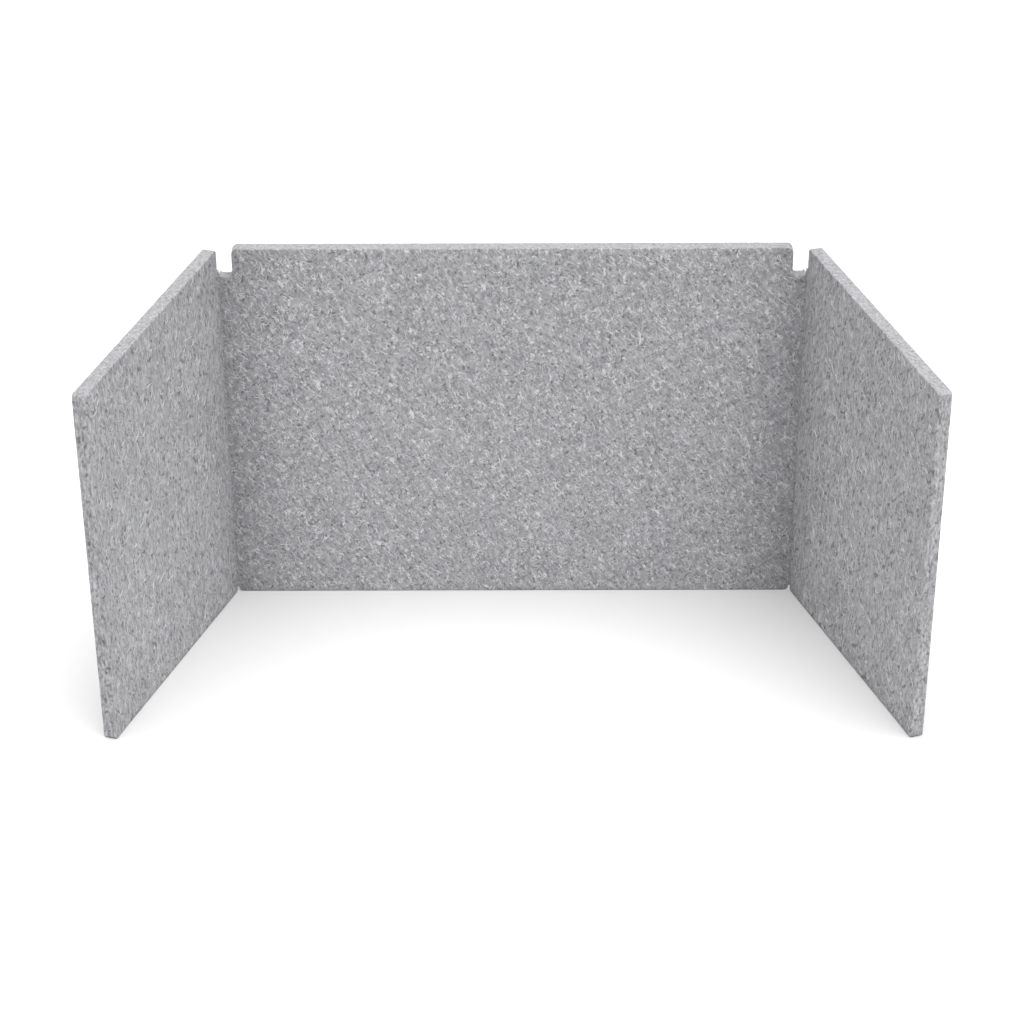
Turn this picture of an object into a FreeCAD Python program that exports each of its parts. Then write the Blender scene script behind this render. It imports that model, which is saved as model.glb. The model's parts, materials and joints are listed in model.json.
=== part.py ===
import FreeCAD, Part
import math
import os

from FreeCAD import Vector

# A desk-top study carrel: one stiff felt board, scored into a back panel and
# two side wings that stand open at an angle. Millimetres, +Z up, front at -Y.
# The origin is at the centre of the footprint, on the desk.

# Felt board
board_thickness = 12.0
back_width = 515.0          # between the two fold lines
panel_height = 350.0
wing_front_drop = 17.5      # how much lower each wing is at its front edge
corner_radius = 5.0         # the back panel's feet, and its shoulders beside the slots
wing_corner_radius = 2.5    # all four corners of a wing
storage_gap = 2.5           # from a folded-in wing to the middle of the back

# Folds, each scored from behind down to a thin skin
open_angle = 109.0          # between a wing and the back, as the carrel stands
skin_thickness = 2.0
score_half_width = 1.0      # from the fold line to the end of each board

# Slots cut into the top of the back panel beside each fold
notch_clearance = 0.5       # beyond one board thickness
notch_depth = 27.0
notch_corner_radius = 4.0

cut_margin = 1.0            # how far a cutting tool passes the face it opens

# Worked out from the sizes above
splay = math.radians(open_angle - 90.0)
wing_length = back_width / 2 - storage_gap
fold_x = back_width / 2
inner_face_y = (wing_length * math.cos(splay) - board_thickness) / 2
notch_width = board_thickness + notch_clearance
notch_floor = panel_height - notch_depth

UP = Vector(0, 0, 1)
ACROSS = Vector(1, 0, 0)
CENTRE = Vector(0, 0, 0)
FOLD = Vector(fold_x, inner_face_y, 0)


def upright_board(outline, thickness):
    """A board standing on the XZ plane, from (x, z) corners, thick towards +Y."""
    points = [Vector(x, 0, z) for x, z in outline]
    face = Part.Face(Part.makePolygon(points + points[:1]))
    return face.extrude(Vector(0, thickness, 0))


def round_corners(board, radius, corners):
    """Round the through-thickness edges at the given (x, z) corners."""
    edges = []
    for edge in board.Edges:
        ends = [vertex.Point for vertex in edge.Vertexes]
        runs_through = abs(ends[0].y - ends[-1].y) > board_thickness / 2
        for x, z in corners:
            if runs_through and abs(ends[0].x - x) + abs(ends[0].z - z) < 1e-6:
                edges.append(edge)
    return board.makeFillet(radius, edges)


def mirrored(shape):
    """The same piece on the left-hand side."""
    return shape.mirror(CENTRE, ACROSS)


def notch_tool():
    """The slot beside the right fold: open at the top, rounded at its floor."""
    inner = fold_x - notch_width
    top = panel_height + cut_margin
    outline = [(inner, notch_floor), (fold_x, notch_floor), (fold_x, top), (inner, top)]
    depth = board_thickness + 2 * cut_margin
    slot = round_corners(upright_board(outline, depth), notch_corner_radius, outline[:2])
    slot.translate(Vector(0, inner_face_y - cut_margin, 0))
    return slot


def back_panel():
    """The rear board, between the folds, with a slot at each top corner."""
    end = fold_x - score_half_width
    shoulder = fold_x - notch_width
    outline = [
        (-end, 0), (end, 0), (end, panel_height), (-end, panel_height),
    ]
    board = round_corners(upright_board(outline, board_thickness), corner_radius, outline[:2])
    board.translate(Vector(0, inner_face_y, 0))
    slot = notch_tool()
    board = board.cut(slot).cut(mirrored(slot))
    top_corners = [(shoulder, panel_height), (-shoulder, panel_height)]
    return round_corners(board, corner_radius, top_corners)


def right_wing():
    """A side board, lower at the front, turned from flat to its standing angle."""
    fall = wing_front_drop / wing_length
    rear_height = panel_height - fall * score_half_width
    front_height = panel_height - wing_front_drop
    outline = [
        (score_half_width, 0), (wing_length, 0),
        (wing_length, front_height), (score_half_width, rear_height),
    ]
    board = upright_board(outline, board_thickness)
    board = round_corners(board, wing_corner_radius, outline)
    board.translate(FOLD)
    board.rotate(FOLD, UP, open_angle - 180.0)
    return board


def right_fold_web():
    """The bent skin of felt that is left at the score, rounded about the fold line."""
    along_wing = Vector(math.sin(splay), -math.cos(splay), 0)
    out_of_wing = Vector(math.cos(splay), math.sin(splay), 0)
    rearward = Vector(0, 1, 0)
    halfway = (rearward + out_of_wing).normalize()
    back_end = FOLD - ACROSS * score_half_width
    wing_end = FOLD + along_wing * score_half_width
    bend_start = FOLD + out_of_wing * skin_thickness
    bend_end = FOLD + rearward * skin_thickness
    bend = Part.Arc(bend_start, FOLD + halfway * skin_thickness, bend_end)
    edges = [
        Part.makeLine(back_end, FOLD),
        Part.makeLine(FOLD, wing_end),
        Part.makeLine(wing_end, wing_end + out_of_wing * skin_thickness),
        Part.makeLine(wing_end + out_of_wing * skin_thickness, bend_start),
        bend.toShape(),
        Part.makeLine(bend_end, back_end + rearward * skin_thickness),
        Part.makeLine(back_end + rearward * skin_thickness, back_end),
    ]
    section = Part.Face(Part.Wire(edges))
    section.translate(UP * corner_radius)
    top = notch_floor + notch_corner_radius
    web = section.extrude(UP * (top - corner_radius))
    return web.cut(notch_tool())


def save(shape, node):
    solid = shape.Solids[0]
    solid.exportStep("parts/" + node + ".step")
    print(node, "valid", solid.isValid(), "volume %.0f mm3" % solid.Volume)


os.makedirs("parts", exist_ok=True)
save(back_panel(), "back_panel")
save(right_wing(), "right_wing")
save(mirrored(right_wing()), "left_wing")
save(right_fold_web(), "right_fold_web")
save(mirrored(right_fold_web()), "left_fold_web")
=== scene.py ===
import json
import math

import bmesh
import bpy
import numpy as np
from bpy.props import (
    FloatProperty,
    FloatVectorProperty,
    IntProperty,
    PointerProperty,
)
from bpy.types import Operator, Panel, PropertyGroup
from mathutils import Matrix, Vector, noise
from mathutils.geometry import delaunay_2d_cdt


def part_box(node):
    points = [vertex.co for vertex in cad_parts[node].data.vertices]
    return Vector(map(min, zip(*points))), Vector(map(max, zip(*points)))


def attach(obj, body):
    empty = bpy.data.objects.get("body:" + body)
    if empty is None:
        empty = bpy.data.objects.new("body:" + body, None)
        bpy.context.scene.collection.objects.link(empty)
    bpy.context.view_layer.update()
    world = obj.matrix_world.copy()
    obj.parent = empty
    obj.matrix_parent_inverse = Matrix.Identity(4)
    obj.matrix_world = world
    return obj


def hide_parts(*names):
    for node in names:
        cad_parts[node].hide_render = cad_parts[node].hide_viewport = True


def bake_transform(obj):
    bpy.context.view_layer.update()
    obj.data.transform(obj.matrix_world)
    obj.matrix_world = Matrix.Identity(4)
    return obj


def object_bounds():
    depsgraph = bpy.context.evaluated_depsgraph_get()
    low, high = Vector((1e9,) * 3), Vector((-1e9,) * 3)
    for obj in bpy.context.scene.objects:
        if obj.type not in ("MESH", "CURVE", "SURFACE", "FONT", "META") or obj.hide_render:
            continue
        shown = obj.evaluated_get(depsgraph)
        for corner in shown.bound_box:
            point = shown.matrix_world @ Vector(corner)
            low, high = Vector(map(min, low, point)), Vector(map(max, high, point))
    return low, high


bl_info = {
    "name": "Felt study carrel",
    "version": (1, 0, 0),
    "blender": (4, 5, 0),
    "location": "3D View > Sidebar > Study Carrel",
    "description": "Dresses a folding three-panel study carrel in pressed heather felt",
    "category": "Add Mesh",
}

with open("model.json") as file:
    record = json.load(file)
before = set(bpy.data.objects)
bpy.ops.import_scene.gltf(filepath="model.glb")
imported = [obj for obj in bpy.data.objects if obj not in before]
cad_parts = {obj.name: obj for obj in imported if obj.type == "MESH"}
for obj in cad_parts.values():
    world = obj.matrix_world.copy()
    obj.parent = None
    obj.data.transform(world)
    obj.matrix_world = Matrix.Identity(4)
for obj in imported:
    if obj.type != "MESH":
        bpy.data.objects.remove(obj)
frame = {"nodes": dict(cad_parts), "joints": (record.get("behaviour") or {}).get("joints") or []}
CAD_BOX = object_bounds()

BOARDS = {"back_panel": "back", "left_wing": "left_side", "right_wing": "right_side"}
FOLDS = {
    "left_fold_web": ("left_fold", "left_wing"),
    "right_fold_web": ("right_fold", "right_wing"),
}
JOINTS = {joint["name"]: joint for joint in frame["joints"]}
UP = np.array((0.0, 0.0, 1.0))
BACK_LAY = ((-48, 4.6), (-74, 4.0), (35, 3.2))      # fibre angle in degrees, length in grains
WING_LAY = ((90, 3.4), (76, 2.8), (-76, 2.8))
LEAN = {"left_wing": 0.66, "right_wing": -0.66}     # how far the lay rises along a wing
SHARPEST_SMOOTH = math.radians(38)
PLANE_TOLERANCE = 2e-5      # how far a point of a flat face may lie from its plane
MM = 0.001

# Boards. A cell is the felt setting of that name.
EDGE_CELL = 0.6             # spacing of the points round an edge, in cells
JITTER = 0.28               # how far a point on a face strays from its grid, in cells
CLEARANCE = 0.62            # how far such a point keeps from the edge, in cells
SWELL_WIDTH = 9 * MM        # one wave of the pressed face
GRIT_WIDTH = 2.6 * MM       # one grain of its roughness
JOINED_WITHIN = 4 * MM      # near a fold the inner edge is left square, to meet the skin
SETTLED_BEYOND = 30 * MM    # how far from a fold the waves are at their full height
LAID_BEYOND = 48 * MM       # and the loose fibres on the inner faces

# Fold skins
BEND_STEPS = 9              # round the back of the bend
LONG_ROWS = 80              # up the even part of the skin
STOP_ROWS = 12              # up its last part, where the score stops just short of the slot
SCORE_STOP = 9 * MM         # the height of that part
THICKENED = 1.2             # how much thicker the skin gets there, against its thickness
RAISED = 1.5 * MM           # and how much higher
SLOT_REACH = 8 * MM         # from the back board's end to somewhere over a slot's floor

# Loose fibres
SEGMENTS = 6                # along a strand
SIDES = 3                   # round a strand
SHORT_TO_LONG = (0.45, 1.5)     # against the mean length
THIN_TO_THICK = (0.6, 1.3)      # against the mean thickness
HEADING = math.radians(-50)     # most of them fall to the right
HEADING_SPREAD = math.radians(42)
CURL_SPREAD = math.radians(110)     # how far one turns along its length
FIBRE_MARGIN = 1.5 * MM     # how far one keeps from a board's edge
FIBRE_LIFT = 0.35           # height of its middle over the face, in its radius
BLUNT = 0.35                # how far its ends stop short of a point, in segments

# The felt's pattern. Lengths, widths and sizes are in grains, weights are shares of contrast.
STREAK_WIDTH = 0.95
STREAK_WEIGHT = 0.80
GRIT_LENGTH = 1.5
GRIT_WEIGHT = 0.55
CLUMP_SIZE = 5.0
CLOUD_SIZE = 24.0
CLOUD_WEIGHT = 0.20         # of the clumps and of the clouds
CURL_LENGTH = 5.0
CURL_WIDTH = 2.3
CURL_LINE = (0.054, 0.018)      # where a curl begins, and where it is at its palest
PATCH_LENGTH = 4.0
PATCH_WIDTH = 3.0
PATCH_RANGE = (0.54, 0.62)      # curls show only in these patches
SPECK_SIZE = 1.8
SPECK_RANGE = (0.31, 0.23)
SPECK_STRENGTH = 0.6
TOP_SPECK_STRENGTH = 0.2
CUT_RANGE = (0.9, 0.45)     # the turn from a face to a cut edge, as a cosine
TOP_RANGE = (0.6, 0.95)     # and from a cut edge to its top
INNER_RANGE = (0.3, -0.5)   # and from the outer face to the inner one
CUT_TONE = 0.53             # the middle tone of the cut edges, where the faces have a half
CURL_HEIGHT = 0.8           # against the difference between light and dark
PLACES = {                  # each noise starts at its own place, so that no two line up
    "streak": 11.0, "grit": 41.0, "clump": 17.0, "cloud": 29.0,
    "curl": 31.0, "next curl": 7.0, "patch": 53.0, "next patch": 5.0, "speck": 67.0,
}

# Stage
FLOOR_REACH = 60.0
FLOOR_GAP = 0.2 * MM        # under the carrel's feet
SENSOR_WIDTH = 36.0
VIEW_DEPTH = 200.0
AIM_ASIDE = -0.7 * MM       # how far to the left of the carrel's middle the camera looks


# ---------------------------------------------------------------- settings

class CarrelFeltSettings(PropertyGroup):
    """The felt board's surface and colours."""

    light: FloatVectorProperty(
        name="Light fibre", description="Colour of the palest fibres in the heather",
        subtype="COLOR", size=3, min=0.0, max=1.0, default=(0.60, 0.60, 0.62),
    )
    dark: FloatVectorProperty(
        name="Dark fibre", description="Colour of the darkest fibres in the heather",
        subtype="COLOR", size=3, min=0.0, max=1.0, default=(0.085, 0.085, 0.09),
    )
    contrast: FloatProperty(
        name="Contrast", description="How strongly the light and dark fibres differ",
        min=0.0, max=6.0, default=0.66,
    )
    cut_contrast: FloatProperty(
        name="Cut edge contrast", description="Contrast on the cut edges, against the faces",
        min=0.0, max=4.0, default=1.35,
    )
    top_contrast: FloatProperty(
        name="Top edge contrast", description="Contrast on the top edges, against the faces",
        min=0.0, max=4.0, default=0.78,
    )
    curled: FloatProperty(
        name="Curl strength", description="How strongly the curled fibres show on the back",
        min=0.0, max=1.0, default=0.85,
    )
    wing_share: FloatProperty(
        name="Wing share", description="How much of the curl and fold shade the wings have",
        min=0.0, max=1.0, default=0.5,
    )
    # painted shade: the inner faces are darkened along the folds, out to fold_reach
    fold_shade: FloatProperty(
        name="Fold shade", description="How much darker the inner faces are along the folds",
        min=0.0, max=1.0, default=0.36,
    )
    fold_reach: FloatProperty(
        name="Fold reach", description="How far from a fold the darker felt ends",
        min=0.0, max=0.3, default=0.065, unit="LENGTH",
    )
    # painted shade on the top edges
    top_shade: FloatProperty(
        name="Top edge shade", description="How much darker the felt is along the top edges",
        min=0.0, max=0.5, default=0.10,
    )
    curl: FloatVectorProperty(
        name="Curled fibre", description="Colour of the pale fibres that curl over the face",
        subtype="COLOR", size=3, min=0.0, max=1.0, default=(0.70, 0.70, 0.715),
    )
    grain: FloatProperty(
        name="Grain", description="Width of one clump of fibres on the back panel",
        unit="LENGTH", min=0.0003, max=0.006, default=0.0016, precision=4,
    )
    wing_grain: FloatProperty(
        name="Wing grain", description="Width of one clump of fibres on the wings",
        unit="LENGTH", min=0.0003, max=0.006, default=0.0023, precision=4,
    )
    edge_radius: FloatProperty(
        name="Edge softness", description="Radius worn onto the cut edges",
        unit="LENGTH", min=0.0001, max=0.003, default=0.0008, precision=4,
    )
    relief: FloatProperty(
        name="Surface relief", description="How far the pressed face wanders from flat",
        unit="LENGTH", min=0.0, max=0.001, default=0.00012, precision=5,
    )
    cut_relief: FloatProperty(
        name="Cut edge relief", description="How ragged the cut edges are",
        unit="LENGTH", min=0.0, max=0.001, default=0.00018, precision=5,
    )
    cell: FloatProperty(
        name="Mesh cell", description="Spacing of the points across a face",
        unit="LENGTH", min=0.001, max=0.02, default=0.0035, precision=4,
    )


class CarrelFibreSettings(PropertyGroup):
    """The loose fibres that lie on the felt."""

    spacing: FloatProperty(
        name="Spacing", description="Mean distance between loose fibres",
        unit="LENGTH", min=0.002, max=0.1, default=0.009, precision=4,
    )
    length: FloatProperty(
        name="Length", description="Mean length of a loose fibre",
        unit="LENGTH", min=0.001, max=0.04, default=0.009, precision=4,
    )
    thickness: FloatProperty(
        name="Thickness", description="Thickness of a loose fibre at its middle",
        unit="LENGTH", min=0.00005, max=0.001, default=0.00040, precision=5,
    )
    colour: FloatVectorProperty(
        name="Colour", description="Colour of the loose fibres",
        subtype="COLOR", size=3, min=0.0, max=1.0, default=(0.74, 0.74, 0.75),
    )
    seed: IntProperty(
        name="Seed", description="Changes where the fibres fall", min=0, default=11,
    )


class CarrelStageSettings(PropertyGroup):
    """Floor, light and camera."""

    floor_colour: FloatVectorProperty(
        name="Floor", description="Colour of the studio floor",
        subtype="COLOR", size=3, min=0.0, max=1.0, default=(0.68, 0.68, 0.682),
    )
    room_light: FloatProperty(
        name="Room light", description="Strength of the even light from all sides",
        min=0.0, max=10.0, default=0.32,
    )
    top_light: FloatProperty(
        name="Top light", description="Strength of the wide, soft light overhead",
        min=0.0, max=20.0, default=3.9,
    )
    key_light: FloatProperty(
        name="Key light", description="Strength of the soft light from the front and right",
        min=0.0, max=20.0, default=1.05,
    )
    rear_light: FloatProperty(
        name="Rear light", description="Strength of the soft light from behind",
        min=0.0, max=20.0, default=0.35,
    )
    softness: FloatProperty(
        name="Softness", description="How wide each light looks from the desk",
        subtype="ANGLE", min=0.0, max=math.pi, default=math.radians(70),
    )
    focal_length: FloatProperty(
        name="Focal length", description="Focal length in millimetres, on a 36 mm sensor",
        min=10.0, max=300.0, default=95.4,
    )
    distance: FloatProperty(
        name="Camera distance", description="From the camera to the point it looks at",
        unit="LENGTH", min=0.2, max=20.0, default=2.362,
    )
    target_height: FloatProperty(
        name="Target height", description="Height of the point the camera looks at",
        unit="LENGTH", min=-1.0, max=2.0, default=0.1515,
    )
    elevation: FloatProperty(
        name="Elevation", description="How far the camera looks down",
        subtype="ANGLE", default=math.radians(30.26),
    )
    azimuth: FloatProperty(
        name="Azimuth", description="How far the camera stands round to the right",
        subtype="ANGLE", default=math.radians(0.24),
    )
    roll: FloatProperty(
        name="Roll", description="How far the camera leans",
        subtype="ANGLE", default=math.radians(0.25),
    )


# ---------------------------------------------------------------- boards

def unit(vector):
    """The same direction, one metre long."""
    vector = np.asarray(vector, float)
    return vector / np.linalg.norm(vector)


class BoardPlane:
    """A board's own axes: u along it, v up, w through it from its inner face."""

    def __init__(self, node):
        mesh = frame["nodes"][node].data
        self.points = np.array([vertex.co for vertex in mesh.vertices], float)
        widest = max(mesh.polygons, key=lambda face: face.area if abs(face.normal.z) < 0.5 else 0)
        normal = unit((widest.normal.x, widest.normal.y, 0.0))
        centre = self.points.mean(axis=0)
        reader = np.array((0.0, CAD_BOX[0].y, centre[2]))
        if normal @ (reader - centre) > 0:
            normal = -normal
        self.w = normal
        self.u = np.cross(UP, -self.w)
        through = self.points @ self.w
        self.thickness = through.max() - through.min()
        self.origin = self.w * through.min()
        self.mesh = mesh

    def outline(self):
        """The inner face's edge as (u, v) points in order, anticlockwise."""
        depth = (self.points - self.origin) @ self.w
        key = [tuple(np.round(point, 6)) for point in self.points]
        edges = {}
        for face in self.mesh.polygons:
            corners = list(face.vertices)
            if max(abs(depth[corner]) for corner in corners) > PLANE_TOLERANCE:
                continue
            for first, second in zip(corners, corners[1:] + corners[:1]):
                edge = (key[first], key[second])
                if (edge[1], edge[0]) in edges:
                    del edges[(edge[1], edge[0])]
                else:
                    edges[edge] = True
        after = {first: second for first, second in edges}
        start = next(iter(after))
        loop = [start]
        while after[loop[-1]] != start:
            loop.append(after[loop[-1]])
        flat = [(np.dot(point, self.u), point[2]) for point in loop]
        area = sum(a[0] * b[1] - b[0] * a[1] for a, b in zip(flat, flat[1:] + flat[:1]))
        return np.array(flat if area > 0 else flat[::-1])

    def place(self, u, v, w):
        """Row-frame points from arrays of board coordinates."""
        return self.origin + np.outer(u, self.u) + np.outer(v, UP) + np.outer(w, self.w)


def even_steps(loop, step):
    """The loop again, with no two neighbouring points further apart than step."""
    points = []
    for first, second in zip(loop, np.roll(loop, -1, axis=0)):
        count = max(1, math.ceil(np.linalg.norm(second - first) / step))
        points += [first + (second - first) * k / count for k in range(count)]
    return np.array(points)


def round_arcs(loop, gentle=math.radians(40), passes=2):
    """Halve the turns along the arcs, which are a few short chords, and leave corners alone."""
    for _ in range(passes):
        before = np.roll(loop, 1, axis=0)
        after = np.roll(loop, -1, axis=0)
        into, out = loop - before, after - loop
        cross = into[:, 0] * out[:, 1] - into[:, 1] * out[:, 0]
        dot = (into * out).sum(axis=1)
        turn = np.abs(np.arctan2(cross, dot))
        reach = np.minimum(np.linalg.norm(into, axis=1), np.linalg.norm(out, axis=1)) / 4
        points = []
        for k, point in enumerate(loop):
            if 1e-4 < turn[k] < gentle:
                points.append(point - unit(into[k]) * reach[k])
                points.append(point + unit(out[k]) * reach[k])
            else:
                points.append(point)
        loop = np.array(points)
    return loop


def outward_normals(loop):
    """The in-plane normal at each point of an anticlockwise loop."""
    along = np.roll(loop, -1, axis=0) - np.roll(loop, 1, axis=0)
    normal = np.stack((along[:, 1], -along[:, 0]), axis=1)
    return normal / np.linalg.norm(normal, axis=1)[:, None]


def is_inside(points, loop):
    """Which points lie inside the loop, by counting the edges to their right."""
    inside = np.zeros(len(points), bool)
    for (ax, ay), (bx, by) in zip(loop, np.roll(loop, -1, axis=0)):
        if ay == by:
            continue
        spans = (points[:, 1] < ay) != (points[:, 1] < by)
        crossing = ax + (points[:, 1] - ay) * (bx - ax) / (by - ay)
        inside ^= spans & (points[:, 0] < crossing)
    return inside


def well_inside(points, loop, margin):
    """Which points lie inside the loop with a margin on all four sides."""
    ways = ((margin, 0), (-margin, 0), (0, margin), (0, -margin))
    return np.all([is_inside(points + way, loop) for way in ways], axis=0)


def scattered_inside(loop, cell, rng):
    """A jittered grid of points inside the loop, clear of its edge."""
    low, high = loop.min(axis=0), loop.max(axis=0)
    us = np.arange(low[0] + cell / 2, high[0], cell)
    vs = np.arange(low[1] + cell / 2, high[1], cell)
    grid = np.stack(np.meshgrid(us, vs), axis=-1).reshape(-1, 2)
    grid += rng.uniform(-JITTER, JITTER, grid.shape) * cell
    grid = grid[is_inside(grid, loop)]
    clear = np.full(len(grid), np.inf)
    for point in loop:
        clear = np.minimum(clear, ((grid - point) ** 2).sum(axis=1))
    return grid[clear > (CLEARANCE * cell) ** 2]


def edge_profile(radius, thickness, row):
    """(inset, depth) of each ring, from the inner face round the edge to the outer one."""
    quarter = [math.radians(angle) for angle in (0, 30, 60, 90)]
    near = [(radius * (1 - math.sin(a)), radius * (1 - math.cos(a))) for a in quarter]
    rows = max(2, round((thickness - 2 * radius) / row))
    span = thickness - 2 * radius
    wall = [(0.0, radius + span * k / rows) for k in range(1, rows)]
    far = [(inset, thickness - depth) for inset, depth in reversed(near)]
    return near + wall + far


def roughness_at(points, scale, seed):
    """Smooth noise from -1 to 1 at each point, for a bump about scale metres wide."""
    offset = Vector((seed * 7.31, seed * 3.17, seed * 5.93))
    return np.array([noise.noise(Vector(point) / scale + offset) for point in points])


def fold_lines():
    """Where each fold stands, as points on the desk."""
    return [np.array(joint["pos_m"], float) for joint in JOINTS.values()]


def web_top():
    """The height at which the folds' skins end, beside the slots."""
    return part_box("right_fold_web")[1].z


def score_half_width():
    """From a fold line to the end of the back board."""
    return abs(JOINTS["right_fold"]["pos_m"][0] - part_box("back_panel")[1].x)


def past_the_score(points):
    """How far each point is from the nearest fold, beyond the end of the board there."""
    nearest = np.full(len(points), np.inf)
    for line in fold_lines():
        nearest = np.minimum(nearest, np.linalg.norm(points[:, :2] - line[:2], axis=1))
    return nearest - score_half_width()


def nearness_to_fold(points, reach):
    """1 on the edge where a board meets a fold's skin, falling to 0 at reach."""
    across = np.clip(1 - past_the_score(points) / reach, 0, 1)
    above = np.clip((points[:, 2] - web_top()) / reach, 0, 1)
    return across * (1 - above)


def felt_board(node, felt, seed):
    """A closed felt board in place of a CAD node, with softened, slightly ragged cut edges."""
    plane = BoardPlane(node)
    rng = np.random.default_rng(seed)
    step = felt.cell * EDGE_CELL
    loop = even_steps(round_arcs(plane.outline()), step)
    normals = outward_normals(loop)
    count = len(loop)
    on_edge = plane.place(loop[:, 0], loop[:, 1], np.zeros(count))
    joined = nearness_to_fold(on_edge, JOINED_WITHIN)

    rings, lean = [], []
    profile = edge_profile(felt.edge_radius, plane.thickness, step)
    for inset, depth in profile:
        inner_side = depth < plane.thickness / 2
        share = 1 - joined if inner_side else np.ones(count)
        flat = loop - normals * (inset * share)[:, None]
        rings.append(plane.place(flat[:, 0], flat[:, 1], np.full(count, depth)))
        outward = np.outer(normals[:, 0], plane.u) + np.outer(normals[:, 1], UP)
        face = -plane.w if inner_side else plane.w
        tilt = min(1.0, inset / felt.edge_radius)
        lean.append(outward * (1 - tilt) + face * tilt)

    edge_loop = loop - normals * (profile[0][0] * (1 - joined))[:, None]
    interior = scattered_inside(edge_loop, felt.cell, rng)
    flat_points = [Vector(point) for point in np.concatenate((edge_loop, interior))]
    _, _, triangles, origins, *_ = delaunay_2d_cdt(flat_points, [], [list(range(count))], 1, 1e-9)
    source = [ids[0] for ids in origins]
    triangles = [[source[corner] for corner in face] for face in triangles]

    inner_points = plane.place(interior[:, 0], interior[:, 1], np.zeros(len(interior)))
    outer_points = inner_points + plane.w * plane.thickness
    points = np.concatenate(rings + [inner_points, outer_points])
    ways = np.concatenate(
        lean + [np.tile(-plane.w, (len(interior), 1)), np.tile(plane.w, (len(interior), 1))]
    )
    last = (len(rings) - 1) * count
    inner_start = len(rings) * count
    outer_start = inner_start + len(interior)

    def on_inner(k):
        return k if k < count else inner_start + k - count

    def on_outer(k):
        return last + k if k < count else outer_start + k - count

    faces = [[on_inner(k) for k in face] for face in triangles]
    faces += [[on_outer(k) for k in reversed(face)] for face in triangles]
    for ring in range(len(rings) - 1):
        here, there = ring * count, (ring + 1) * count
        for k in range(count):
            nxt = (k + 1) % count
            faces.append([here + k, here + nxt, there + nxt, there + k])

    on_wall = np.zeros(len(points))
    on_wall[: len(rings) * count] = 1.0
    swell = roughness_at(points, SWELL_WIDTH, seed) * felt.relief
    grit = roughness_at(points, GRIT_WIDTH, seed + 40)
    height = swell + grit * (felt.relief * 0.5 * (1 - on_wall) + felt.cut_relief * on_wall)
    settled = np.clip(past_the_score(points) / SETTLED_BEYOND, 0, 1)
    points = points + ways * (height * settled)[:, None]
    points[:, 2] = np.maximum(points[:, 2], 0.0)
    piece = closed_object(node + "_felt", points, faces)
    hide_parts(node)
    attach(piece, BOARDS[node])
    return piece, plane


def closed_object(name, points, faces):
    """A smooth-shaded mesh object whose faces all look outward."""
    mesh = bpy.data.meshes.new(name)
    mesh.from_pydata([tuple(point) for point in points], [], faces)
    work = bmesh.new()
    work.from_mesh(mesh)
    bmesh.ops.recalc_face_normals(work, faces=work.faces)
    work.to_mesh(mesh)
    work.free()
    mesh.polygons.foreach_set("use_smooth", [True] * len(mesh.polygons))
    mesh.set_sharp_from_angle(angle=SHARPEST_SMOOTH)
    piece = bpy.data.objects.new(name, mesh)
    bpy.context.scene.collection.objects.link(piece)
    return piece


# ---------------------------------------------------------------- folds

def fold_skin(node):
    """The bent skin at one fold, as a fine mesh that bends between its two boards."""
    joint_name, wing = FOLDS[node]
    line = np.array(JOINTS[joint_name]["pos_m"], float)
    side = 1.0 if line[0] > 0 else -1.0
    wing_plane = BoardPlane(wing)
    along_back = np.array((-side, 0.0, 0.0))
    behind = np.array((0.0, 1.0, 0.0))
    along_wing = unit(np.cross(UP, wing_plane.w) * side)
    if along_wing[1] > 0:
        along_wing = -along_wing
    out = wing_plane.w
    half = score_half_width()
    low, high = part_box(node)
    skin = high.y - line[1]
    fillet = high.z - slot_floor()

    def section(depth):
        """The points round the skin, seen from above, for one thickness of it."""
        thirds = (1, 2, 3)
        points = [along_back * half * k / 3 for k in (3, 2, 1, 0)]
        points += [along_wing * half * k / 3 for k in thirds]
        points += [along_wing * half * k / 3 + out * depth for k in reversed(thirds)]
        turn = math.acos(max(-1.0, min(1.0, float(out @ behind))))
        for k in range(BEND_STEPS + 1):
            share = k / BEND_STEPS
            way = math.sin((1 - share) * turn) * out + math.sin(share * turn) * behind
            points.append(way / math.sin(turn) * depth)
        points += [along_back * half * k / 3 + behind * depth for k in thirds]
        return np.array(points)

    into_back = np.clip(section(skin) @ along_back, 0, None)
    tops = high.z - fillet + np.where(
        into_back > 1e-6,
        fillet - np.sqrt(np.maximum(fillet**2 - (fillet - into_back) ** 2, 0)),
        fillet,
    )
    # the score stops just short of the slot, so the skin is thicker in its last few millimetres
    stop = 1 - SCORE_STOP / (high.z - low.z)
    levels = np.concatenate((np.linspace(0, stop, LONG_ROWS)[:-1], np.linspace(stop, 1, STOP_ROWS)))
    points, faces = [], []
    size = len(into_back)
    for level in levels:
        whole = max(0.0, level - stop) / (1 - stop)
        depth = skin * (1 + THICKENED * whole * whole * (3 - 2 * whole))
        heights = low.z + (tops + RAISED * whole - low.z) * level
        points.append(line + section(depth) + np.outer(heights, UP))
    rows = len(levels) - 1
    for row in range(rows):
        here, there = row * size, (row + 1) * size
        for k in range(size):
            nxt = (k + 1) % size
            faces.append([here + k, here + nxt, there + nxt, there + k])
    faces.append(list(range(size)))
    faces.append([rows * size + k for k in reversed(range(size))])
    piece = closed_object(node.replace("_web", "_felt"), np.concatenate(points), faces)
    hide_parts(node)
    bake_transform(piece)
    return piece


def slot_floor():
    """The height of the floor of the slots in the back panel."""
    points = np.array([vertex.co for vertex in frame["nodes"]["back_panel"].data.vertices])
    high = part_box("back_panel")[1]
    inside = (points[:, 2] > high.z / 2) & (np.abs(points[:, 0]) > high.x - SLOT_REACH)
    return float(points[inside][:, 2].min())


# ---------------------------------------------------------------- loose fibres

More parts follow.
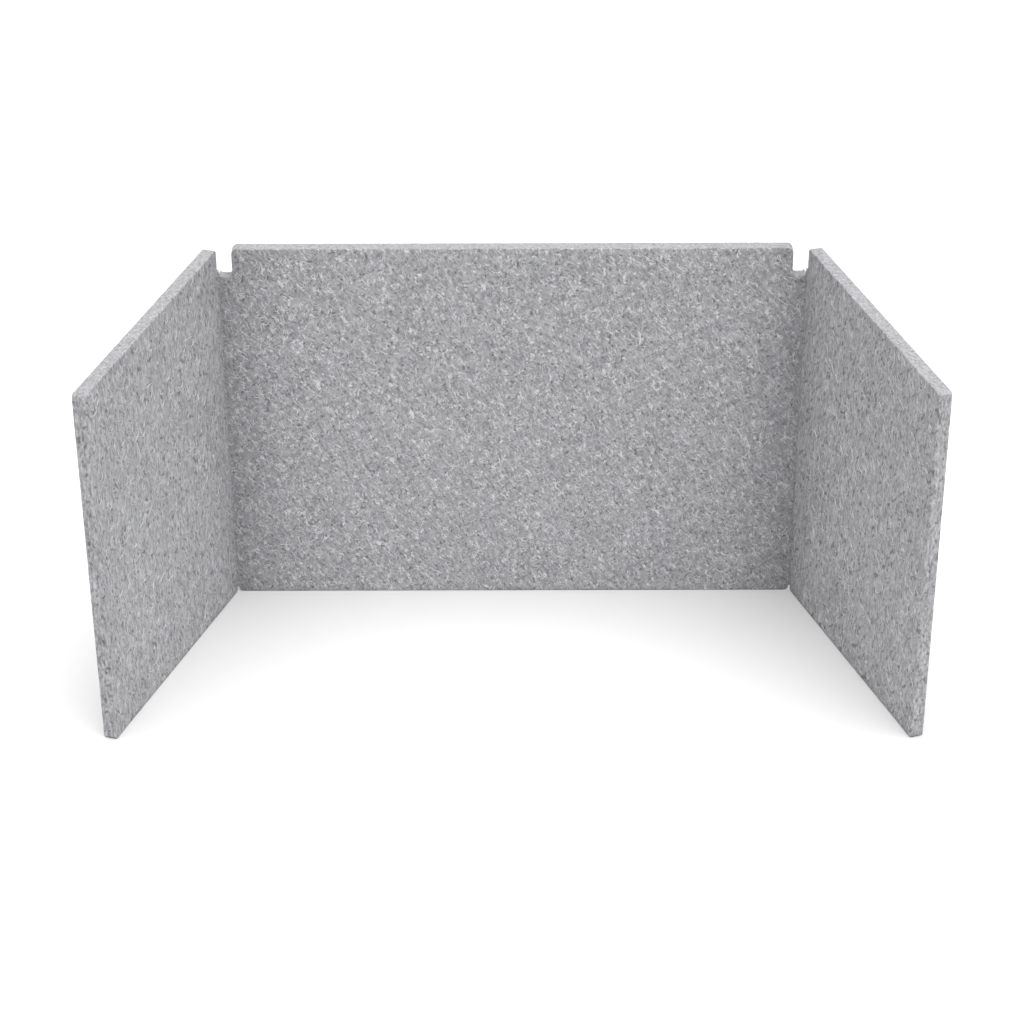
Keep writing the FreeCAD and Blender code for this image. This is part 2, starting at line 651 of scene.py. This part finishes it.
def fibre_spines(loop, fibres, rng):
    """Curled lines scattered over a board's face, all of them clear of its edge."""
    low, high = loop.min(axis=0), loop.max(axis=0)
    count = int(np.prod(high - low) / fibres.spacing**2)
    length = fibres.length * rng.uniform(*SHORT_TO_LONG, count)
    curl = rng.normal(0.0, CURL_SPREAD, count) / SEGMENTS
    heading = rng.normal(HEADING, HEADING_SPREAD, count)
    place = rng.uniform(low, high, (count, 2))
    spines = [place]
    for _ in range(SEGMENTS):
        step = np.stack((np.cos(heading), np.sin(heading)), axis=1)
        place = place + step * (length / SEGMENTS)[:, None]
        heading = heading + curl
        spines.append(place)
    spines = np.stack(spines, axis=1)
    clear = well_inside(spines.reshape(-1, 2), loop, FIBRE_MARGIN)
    return spines[clear.reshape(-1, SEGMENTS + 1).all(axis=1)]


def loose_fibres(node, plane, fibres, seed):
    """Fine curled fibres lying on both faces of a board, each a closed tapered strand."""
    rng = np.random.default_rng(fibres.seed * 100 + seed)
    loop = plane.outline()
    blocks, faces = [], []
    start = 0
    for depth, out in ((0.0, -1.0), (plane.thickness, 1.0)):
        spines = fibre_spines(loop, fibres, rng)
        tangent = np.gradient(spines, axis=1)
        tangent /= np.linalg.norm(tangent, axis=2)[:, :, None]
        sideways = np.stack((-tangent[:, :, 1], tangent[:, :, 0]), axis=2)
        radius = fibres.thickness / 2 * rng.uniform(*THIN_TO_THICK, len(spines))
        taper = np.sin(np.pi * (np.arange(SEGMENTS + 1) + BLUNT) / (SEGMENTS + 2 * BLUNT)) ** 0.5
        fat = radius[:, None] * taper
        rise = np.ones(fat.shape)
        if depth == 0.0:        # the boards fold together on this side
            flat = spines.reshape(-1, 2)
            on_face = plane.place(flat[:, 0], flat[:, 1], np.zeros(fat.size))
            rise = np.clip(past_the_score(on_face) / LAID_BEYOND, 0, 1).reshape(fat.shape)
        for corner in range(SIDES):
            angle = 2 * math.pi * corner / SIDES + math.pi / 2
            flat = spines + sideways * (fat * math.cos(angle))[:, :, None]
            height = radius[:, None] * FIBRE_LIFT + fat * math.sin(angle)
            through = depth + out * height * rise
            blocks.append(plane.place(flat[:, :, 0].ravel(), flat[:, :, 1].ravel(), through.ravel()))
        faces += strand_faces(start, len(spines))
        start += len(spines) * (SEGMENTS + 1) * SIDES
    piece = closed_object(node + "_fibres", np.concatenate(blocks), faces)
    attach(piece, BOARDS[node])
    return piece


def strand_faces(start, strands):
    """The faces of closed strands, whose corner k of all rows makes the k-th block of points."""
    rows = SEGMENTS + 1
    block = strands * rows
    faces = []
    for strand in range(strands):
        first = start + strand * rows
        for corner in range(SIDES):
            here, there = corner * block, (corner + 1) % SIDES * block
            for row in range(first, first + SEGMENTS):
                faces.append([here + row, there + row, there + row + 1, here + row + 1])
        faces.append([corner * block + first for corner in reversed(range(SIDES))])
        faces.append([corner * block + first + SEGMENTS for corner in range(SIDES)])
    return faces


# ---------------------------------------------------------------- materials

class NodeSheet:
    """Short calls for laying out a material's nodes."""

    def __init__(self, name):
        self.material = bpy.data.materials.new(name)
        self.material.use_nodes = True
        self.nodes = self.material.node_tree.nodes
        self.links = self.material.node_tree.links
        self.nodes.clear()

    def add(self, kind, **values):
        node = self.nodes.new(kind)
        for name, value in values.items():
            setattr(node, name, value)
        return node

    def feed(self, socket, value):
        """Join a socket to another, or set it to a constant."""
        if isinstance(value, bpy.types.NodeSocket):
            self.links.new(value, socket)
        else:
            socket.default_value = value

    def math(self, operation, first, second=0.0, clamp=False):
        node = self.add("ShaderNodeMath", operation=operation, use_clamp=clamp)
        self.feed(node.inputs[0], first)
        self.feed(node.inputs[1], second)
        return node.outputs[0]

    def board_space(self, heading, lean):
        """Coordinates along, through and up a board, with each upright line leant over."""
        source = self.add("ShaderNodeTexCoord").outputs["Object"]
        turned = self.add("ShaderNodeMapping")
        self.feed(turned.inputs["Vector"], source)
        turned.inputs["Rotation"].default_value = (0.0, 0.0, heading)
        split = self.add("ShaderNodeSeparateXYZ")
        self.feed(split.inputs[0], turned.outputs[0])
        risen = self.math("ADD", split.outputs["Z"], self.math("MULTIPLY", split.outputs["X"], lean))
        joined = self.add("ShaderNodeCombineXYZ")
        self.feed(joined.inputs["X"], split.outputs["X"])
        self.feed(joined.inputs["Y"], split.outputs["Y"])
        self.feed(joined.inputs["Z"], risen)
        return joined.outputs[0]

    def distance_to_folds(self):
        """How far a point is from the nearer fold line, seen from above."""
        fold = JOINTS["right_fold"]["pos_m"]
        split = self.add("ShaderNodeSeparateXYZ")
        self.feed(split.inputs[0], self.add("ShaderNodeTexCoord").outputs["Object"])
        aside = self.math("SUBTRACT", self.math("ABSOLUTE", split.outputs["X"]), float(fold[0]))
        ahead = self.math("SUBTRACT", split.outputs["Y"], float(fold[1]))
        squares = [self.math("MULTIPLY", part, part) for part in (aside, ahead)]
        return self.math("SQRT", self.math("ADD", *squares))

    def drawn_out(self, space, angle, scale, shift):
        """Coordinates turned in a board's plane, then scaled and shifted."""
        turned = self.add("ShaderNodeMapping")
        self.feed(turned.inputs["Vector"], space)
        turned.inputs["Rotation"].default_value = (0.0, math.radians(angle), 0.0)
        stretched = self.add("ShaderNodeMapping")
        self.feed(stretched.inputs["Vector"], turned.outputs[0])
        stretched.inputs["Scale"].default_value = scale
        stretched.inputs["Location"].default_value = shift
        return stretched.outputs[0]

    def noise(self, vector, scale=1.0, detail=2.0, roughness=0.5, distortion=0.0):
        node = self.add("ShaderNodeTexNoise")
        self.feed(node.inputs["Vector"], vector)
        node.inputs["Scale"].default_value = scale
        node.inputs["Detail"].default_value = detail
        node.inputs["Roughness"].default_value = roughness
        node.inputs["Distortion"].default_value = distortion
        return node.outputs["Fac"]

    def ramp(self, value, low, high):
        """0 below low, 1 above high, straight between."""
        node = self.add("ShaderNodeMapRange")
        self.feed(node.inputs["Value"], value)
        node.inputs["From Min"].default_value = low
        node.inputs["From Max"].default_value = high
        return node.outputs["Result"]

    def between(self, share, first, second):
        """A number that goes from first to second as share goes from 0 to 1."""
        node = self.add("ShaderNodeMix", data_type="FLOAT")
        self.feed(node.inputs["Factor"], share)
        self.feed(node.inputs["A"], first)
        self.feed(node.inputs["B"], second)
        return node.outputs["Result"]

    def weighed(self, parts):
        """The sum of each noise's departure from a half, times its weight."""
        total = None
        for value, weight in parts:
            part = self.math("MULTIPLY", self.math("SUBTRACT", value, 0.5), weight)
            total = part if total is None else self.math("ADD", total, part)
        return total

    def facing(self, way):
        """The cosine between the surface's own normal and a direction of the object."""
        normal = self.add("ShaderNodeTexCoord").outputs["Normal"]
        dot = self.add("ShaderNodeVectorMath", operation="DOT_PRODUCT")
        self.feed(dot.inputs[0], normal)
        self.feed(dot.inputs[1], tuple(way))
        return dot.outputs["Value"]

    def mix(self, share, first, second):
        node = self.add("ShaderNodeMix", data_type="RGBA")
        self.feed(node.inputs["Factor"], share)
        self.feed(node.inputs["A"], first)
        self.feed(node.inputs["B"], second)
        return node.outputs["Result"]


def rgba(colour):
    return (*colour, 1.0)


def heather_tone(sheet, along, lay):
    """Streaks in each direction of the lay, with grit, clumps and clouds, about zero."""
    parts = []
    for number, (angle, length) in enumerate(lay):
        vector = along(angle, length, STREAK_WIDTH, PLACES["streak"] * number)
        parts.append((sheet.noise(vector, detail=1.0, distortion=0.8), STREAK_WEIGHT))
    grit = along(lay[0][0], GRIT_LENGTH, 1.0, PLACES["grit"])
    parts.append((sheet.noise(grit, detail=1.0), GRIT_WEIGHT))
    for size, place in ((CLUMP_SIZE, PLACES["clump"]), (CLOUD_SIZE, PLACES["cloud"])):
        parts.append((sheet.noise(along(0.0, size, size, place)), CLOUD_WEIGHT))
    return sheet.weighed(parts)


def curl_lines(sheet, along, lay):
    """1 on the pale curled fibres, which follow the first two directions of the lay."""
    curls = None
    for number, (angle, _) in enumerate(lay[:2]):
        place = PLACES["curl"] + number * PLACES["next curl"]
        line = along(angle, CURL_LENGTH, CURL_WIDTH, place)
        line = sheet.noise(line, detail=0.0, distortion=1.3)
        off = sheet.math("ABSOLUTE", sheet.math("SUBTRACT", line, 0.5))
        place = PLACES["patch"] + number * PLACES["next patch"]
        patch = sheet.noise(along(angle, PATCH_LENGTH, PATCH_WIDTH, place), detail=0.0)
        curl = sheet.math(
            "MULTIPLY", sheet.ramp(off, *CURL_LINE), sheet.ramp(patch, *PATCH_RANGE)
        )
        curls = curl if curls is None else sheet.math("MAXIMUM", curls, curl)
    return curls


def felt_material(name, felt, node, plane, seed):
    """Heather felt: fibres laid in three directions, curled pale ones over them, dark specks.

    The cut edges, where the surface turns away from the board's faces, are coarser, and
    smoother on top, where shade is painted in. Painted shade also darkens the inner faces
    along the folds.
    """
    is_wing = node in ("left_wing", "right_wing")
    grain = felt.wing_grain if is_wing else felt.grain
    lay = WING_LAY if is_wing else BACK_LAY
    curled = felt.curled * (felt.wing_share if is_wing else 1.0)
    # strength of the painted shade along the folds, less on the wings by the wing share
    worn = felt.fold_shade * (felt.wing_share if is_wing else 1.0)
    lean = LEAN.get(node, 0.0)
    sheet = NodeSheet(name)
    space = sheet.board_space(-math.atan2(plane.u[1], plane.u[0]), lean)
    shift = (seed * 1.7, seed * 2.9, seed * 4.3)
    fine = 1 / grain

    def along(angle, length, width, offset):
        """Coordinates drawn out along one direction in the board's plane, in grains."""
        scale = (fine / length, fine / width, fine / width)
        return sheet.drawn_out(space, angle, scale, tuple(part + offset for part in shift))

    cut = sheet.ramp(sheet.math("ABSOLUTE", sheet.facing(plane.w)), *CUT_RANGE)
    top = sheet.ramp(sheet.facing(UP), *TOP_RANGE)
    strength = sheet.between(cut, felt.contrast, felt.contrast * felt.cut_contrast)
    strength = sheet.between(top, strength, felt.contrast * felt.top_contrast)
    tone = sheet.math("MULTIPLY", heather_tone(sheet, along, lay), strength)
    # painted shade: top_shade lowers the top edges' middle tone, darkening tops that the overhead
    # light brightens
    middle = sheet.between(top, sheet.between(cut, 0.5, CUT_TONE), 0.5 - felt.top_shade)
    tone = sheet.math("ADD", tone, middle, clamp=True)
    colour = sheet.mix(tone, rgba(felt.dark), rgba(felt.light))

    curls = sheet.math("MULTIPLY", curl_lines(sheet, along, lay), sheet.math("SUBTRACT", 1.0, cut))
    colour = sheet.mix(sheet.math("MULTIPLY", curls, curled), colour, rgba(felt.curl))

    speck = sheet.noise(along(0.0, SPECK_SIZE, SPECK_SIZE, PLACES["speck"]), detail=0.0)
    strength = sheet.between(top, SPECK_STRENGTH, TOP_SPECK_STRENGTH)
    specks = sheet.math("MULTIPLY", sheet.ramp(speck, *SPECK_RANGE), strength)
    colour = sheet.mix(specks, colour, rgba(felt.dark))

    # painted shade: dark felt mixed into the inner faces near each fold, where the corners lie in
    # shade
    away = sheet.distance_to_folds()
    painted_fold_shade = sheet.math("POWER", sheet.ramp(away, felt.fold_reach, 0.0), 1.5)
    inner = sheet.ramp(sheet.facing(plane.w), *INNER_RANGE)
    painted_fold_shade = sheet.math("MULTIPLY", painted_fold_shade, sheet.math("MULTIPLY", inner, worn))
    colour = sheet.mix(painted_fold_shade, colour, rgba(felt.dark))

    height = sheet.math("ADD", tone, sheet.math("MULTIPLY", curls, CURL_HEIGHT))
    bump = sheet.add("ShaderNodeBump")
    bump.inputs["Strength"].default_value = 0.35
    bump.inputs["Distance"].default_value = 0.0005
    sheet.feed(bump.inputs["Height"], height)

    surface = sheet.add("ShaderNodeBsdfPrincipled")
    sheet.feed(surface.inputs["Base Color"], colour)
    sheet.feed(surface.inputs["Roughness"], sheet.between(tone, 0.84, 0.96))
    sheet.feed(surface.inputs["Normal"], bump.outputs[0])
    surface.inputs["Specular IOR Level"].default_value = 0.15
    surface.inputs["Sheen Weight"].default_value = 0.08
    surface.inputs["Sheen Roughness"].default_value = 0.6
    output = sheet.add("ShaderNodeOutputMaterial")
    sheet.links.new(surface.outputs[0], output.inputs["Surface"])
    return sheet.material


def fibre_material(fibres):
    """Pale polyester fibre, a little uneven in tone along its length."""
    sheet = NodeSheet("loose_fibre")
    plain = sheet.add("ShaderNodeTexCoord").outputs["Object"]
    tone = sheet.noise(plain, scale=160.0, detail=1.0)
    darker = tuple(part * 0.62 for part in fibres.colour)
    colour = sheet.mix(sheet.ramp(tone, 0.35, 0.65), rgba(darker), rgba(fibres.colour))
    surface = sheet.add("ShaderNodeBsdfPrincipled")
    sheet.feed(surface.inputs["Base Color"], colour)
    sheet.feed(surface.inputs["Roughness"], sheet.ramp(tone, -1.0, 1.4))
    surface.inputs["Sheen Weight"].default_value = 0.2
    output = sheet.add("ShaderNodeOutputMaterial")
    sheet.links.new(surface.outputs[0], output.inputs["Surface"])
    return sheet.material


def floor_material(stage):
    """Matt white card with a faint unevenness."""
    sheet = NodeSheet("floor_card")
    plain = sheet.add("ShaderNodeTexCoord").outputs["Object"]
    tone = sheet.noise(plain, scale=3.0, detail=2.0)
    darker = tuple(part * 0.995 for part in stage.floor_colour)
    colour = sheet.mix(tone, rgba(darker), rgba(stage.floor_colour))
    surface = sheet.add("ShaderNodeBsdfPrincipled")
    sheet.feed(surface.inputs["Base Color"], colour)
    surface.inputs["Roughness"].default_value = 0.9
    surface.inputs["Specular IOR Level"].default_value = 0.1
    output = sheet.add("ShaderNodeOutputMaterial")
    sheet.links.new(surface.outputs[0], output.inputs["Surface"])
    return sheet.material


# ---------------------------------------------------------------- operators

def dress(piece, material):
    piece.data.materials.clear()
    piece.data.materials.append(material)


class CARREL_OT_boards(Operator):
    """Build the back panel and both wings in felt"""

    bl_idname = "carrel.boards"
    bl_label = "Felt boards"

    def execute(self, context):
        felt = context.scene.carrel_felt
        fibres = context.scene.carrel_fibres
        strand = fibre_material(fibres)
        for seed, node in enumerate(BOARDS, start=1):
            piece, plane = felt_board(node, felt, seed)
            dress(piece, felt_material(node + "_heather", felt, node, plane, seed))
            dress(loose_fibres(node, plane, fibres, seed), strand)
        return {"FINISHED"}


class CARREL_OT_folds(Operator):
    """Build the two skins of felt that bend at the folds"""

    bl_idname = "carrel.folds"
    bl_label = "Fold skins"

    def execute(self, context):
        felt = context.scene.carrel_felt
        back = BoardPlane("back_panel")
        for seed, node in enumerate(FOLDS, start=5):
            skin = fold_skin(node)
            dress(skin, felt_material(node + "_heather", felt, node, back, seed))
        return {"FINISHED"}


class CARREL_OT_stage(Operator):
    """Lay the floor and place the lights and the camera"""

    bl_idname = "carrel.stage"
    bl_label = "Floor, light and camera"

    def execute(self, context):
        stage = context.scene.carrel_stage
        lay_floor(stage)
        light_room(stage)
        place_camera(stage)
        return {"FINISHED"}


def lay_floor(stage):
    """A wide, flat floor, whose far edge is out of sight."""
    far = FLOOR_REACH
    corners = [(-far, -far, 0), (far, -far, 0), (far, far, 0), (-far, far, 0)]
    mesh = bpy.data.meshes.new("floor")
    mesh.from_pydata(corners, [], [(0, 1, 2, 3)])
    floor = bpy.data.objects.new("floor", mesh)
    floor.location.z = -FLOOR_GAP
    bpy.context.scene.collection.objects.link(floor)
    floor.data.materials.append(floor_material(stage))


def soft_light(name, azimuth, elevation, strength, softness):
    """A wide light from one direction: azimuth from the front round to the right."""
    lamp = bpy.data.lights.new(name, "SUN")
    lamp.energy = strength
    lamp.angle = softness
    source = bpy.data.objects.new(name, lamp)
    source.rotation_euler = direction(azimuth, elevation).to_track_quat("Z", "Y").to_euler()
    bpy.context.scene.collection.objects.link(source)


def direction(azimuth, elevation):
    """The way from the carrel to something at this azimuth and elevation, in radians."""
    flat = math.cos(elevation)
    return Vector((math.sin(azimuth) * flat, -math.cos(azimuth) * flat, math.sin(elevation)))


def light_room(stage):
    """Even white light all round, a wide light overhead, and two lesser ones."""
    world = bpy.data.worlds.new("white_room")
    world.use_nodes = True
    background = world.node_tree.nodes["Background"]
    background.inputs["Color"].default_value = (1.0, 1.0, 1.0, 1.0)
    background.inputs["Strength"].default_value = stage.room_light
    scene = bpy.context.scene
    scene.world = world
    scene.view_settings.view_transform = "Standard"
    lights = (
        ("top_light", 0, 88, stage.top_light),
        ("key_light", 45, 55, stage.key_light),
        ("rear_light", 180, 45, stage.rear_light),
    )
    for name, azimuth, elevation, strength in lights:
        soft_light(name, math.radians(azimuth), math.radians(elevation), strength, stage.softness)


def place_camera(stage):
    """Aim the camera from its distance, azimuth and elevation, then lean it by its roll."""
    away = direction(stage.azimuth, stage.elevation)
    target = Vector((AIM_ASIDE, 0.0, stage.target_height))
    lens = bpy.data.cameras.new("camera")
    lens.sensor_width = SENSOR_WIDTH
    lens.lens = stage.focal_length
    lens.clip_end = VIEW_DEPTH
    camera = bpy.data.objects.new("camera", lens)
    aim = away.to_track_quat("Z", "Y").to_matrix().to_4x4()
    lean = Matrix.Rotation(-stage.roll, 4, "Z")
    camera.matrix_world = Matrix.Translation(target + away * stage.distance) @ aim @ lean
    bpy.context.scene.collection.objects.link(camera)
    bpy.context.scene.camera = camera


class CARREL_PT_sidebar(Panel):
    """The carrel's steps and settings"""

    bl_idname = "CARREL_PT_sidebar"
    bl_label = "Study Carrel"
    bl_space_type = "VIEW_3D"
    bl_region_type = "UI"
    bl_category = "Study Carrel"

    def draw(self, context):
        groups = (
            (context.scene.carrel_felt, (CARREL_OT_boards, CARREL_OT_folds)),
            (context.scene.carrel_fibres, ()),
            (context.scene.carrel_stage, (CARREL_OT_stage,)),
        )
        for settings, operators in groups:
            box = self.layout.box()
            for name in settings.__annotations__:
                box.prop(settings, name)
            for operator in operators:
                box.operator(operator.bl_idname)


CLASSES = (
    CarrelFeltSettings,
    CarrelFibreSettings,
    CarrelStageSettings,
    CARREL_OT_boards,
    CARREL_OT_folds,
    CARREL_OT_stage,
    CARREL_PT_sidebar,
)


def register():
    for cls in CLASSES:
        bpy.utils.register_class(cls)
    bpy.types.Scene.carrel_felt = PointerProperty(type=CarrelFeltSettings)
    bpy.types.Scene.carrel_fibres = PointerProperty(type=CarrelFibreSettings)
    bpy.types.Scene.carrel_stage = PointerProperty(type=CarrelStageSettings)


def unregister():
    for name in ("carrel_stage", "carrel_fibres", "carrel_felt"):
        delattr(bpy.types.Scene, name)
    for cls in reversed(CLASSES):
        bpy.utils.unregister_class(cls)


def main():
    register()
    bpy.ops.carrel.stage()
    bpy.ops.carrel.boards()
    bpy.ops.carrel.folds()


if __name__ == "__main__":
    main()
